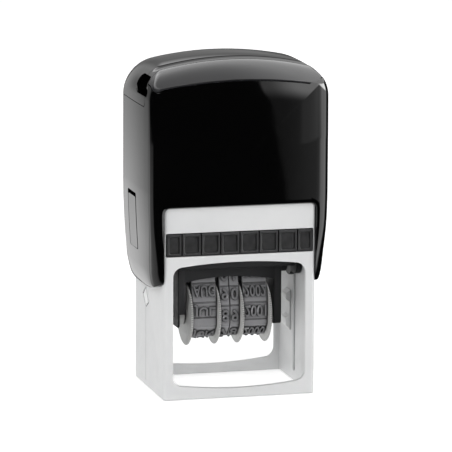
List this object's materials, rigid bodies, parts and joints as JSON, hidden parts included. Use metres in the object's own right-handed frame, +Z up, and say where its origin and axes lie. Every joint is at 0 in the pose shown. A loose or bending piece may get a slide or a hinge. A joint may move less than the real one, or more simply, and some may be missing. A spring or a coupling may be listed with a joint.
{
  "type": "self-inking rotary date stamp",
  "caption": "Self-inking date stamp: a glossy cap slides down over an open frame and flips a carriage with a text plate, date bands and toothed setting wheels.",
  "frame": {"origin": "middle of the footprint, on the plane that the open frame stands on", "axes": "+Z up, the way the cap is lifted; -Y is the front with the ink pad's grip strip; +X is to the right seen from the front"},
  "size_m": [0.0664, 0.048, 0.122],
  "materials": {
    "frame_plastic": "satin light grey moulded ABS",
    "cap_plastic": "high-gloss black moulded ABS",
    "window_plastic": "polished smoke-grey polycarbonate",
    "card": "dark printed index card",
    "pad_plastic": "fine-textured black moulded plastic",
    "foam": "ink-soaked open-cell foam",
    "inner_plastic": "satin black acetal",
    "wheel_plastic": "light grey acetal, finely toothed rims",
    "band_rubber": "dark grey moulded rubber with raised type",
    "text_rubber": "laser-engraved rubber plate",
    "steel": "bright drawn steel"
  },
  "bodies": {
    "frame": {"base_frame": "frame_plastic", "return_spring_left": "steel", "return_spring_right": "steel"},
    "ink_pad": {"ink_pad_tray": "pad_plastic", "ink_pad_foam": "foam"},
    "cap": {"cap_shell": "cap_plastic", "rear_cover": "cap_plastic", "index_card": "card", "drive_yoke": "inner_plastic"},
    "window": {"index_window": "window_plastic"},
    "lock_left": {"lock_tab_left": "cap_plastic"},
    "lock_right": {"lock_tab_right": "cap_plastic"},
    "carriage": {"die_plate": "inner_plastic", "text_plate": "text_rubber", "date_unit_frame": "inner_plastic", "band_nose": "inner_plastic", "month_band": "band_rubber", "day_tens_band": "band_rubber", "day_units_band": "band_rubber", "year_band": "band_rubber", "wheel_axle": "steel", "axle_bush_left": "wheel_plastic", "axle_bush_right": "wheel_plastic", "pivot_pin_left": "steel", "pivot_pin_right": "steel"},
    "month_setting": {"month_wheel": "wheel_plastic"},
    "day_tens_setting": {"day_tens_wheel": "wheel_plastic"},
    "day_units_setting": {"day_units_wheel": "wheel_plastic"},
    "year_setting": {"year_wheel": "wheel_plastic"}
  },
  "joints": [
    {"name": "cap_press", "type": "slide", "parent": "frame", "child": "cap", "axis": [0, 0, -1], "range_m": [0, 0.0374], "stiffness_N_per_m": 350, "springref_m": -0.012, "deforming": ["return_spring_left", "return_spring_right"]},
    {"name": "carriage_flip", "type": "hinge", "parent": "cap", "child": "carriage", "pos_m": [0, 0, 0.0445], "axis": [1, 0, 0], "range_deg": [0, 180]},
    {"name": "pad_drawer", "type": "slide", "parent": "frame", "child": "ink_pad", "axis": [0, 1, 0], "range_m": [-0.05, 0]},
    {"name": "window_lift", "type": "slide", "parent": "cap", "child": "window", "axis": [0, 0, 1], "range_m": [0, 0.02]},
    {"name": "lock_left_flex", "type": "hinge", "parent": "cap", "child": "lock_left", "pos_m": [-0.0312, 0, 0.0517], "axis": [0, 1, 0], "range_deg": [0, 5], "stiffness_Nm_per_rad": 0.05},
    {"name": "lock_right_flex", "type": "hinge", "parent": "cap", "child": "lock_right", "pos_m": [0.0312, 0, 0.0517], "axis": [0, -1, 0], "range_deg": [0, 5], "stiffness_Nm_per_rad": 0.05},
    {"name": "month_turn", "type": "hinge", "parent": "carriage", "child": "month_setting", "pos_m": [-0.0147, 0, 0.027], "axis": [1, 0, 0], "continuous": true},
    {"name": "day_tens_turn", "type": "hinge", "parent": "carriage", "child": "day_tens_setting", "pos_m": [-0.0043, 0, 0.027], "axis": [1, 0, 0], "continuous": true},
    {"name": "day_units_turn", "type": "hinge", "parent": "carriage", "child": "day_units_setting", "pos_m": [0.0043, 0, 0.027], "axis": [1, 0, 0], "continuous": true},
    {"name": "year_turn", "type": "hinge", "parent": "carriage", "child": "year_setting", "pos_m": [0.0147, 0, 0.027], "axis": [1, 0, 0], "continuous": true}
  ],
  "couplings": [
    {"joint": "carriage_flip", "follows": "cap_press", "rad_per_m": 84}
  ]
}
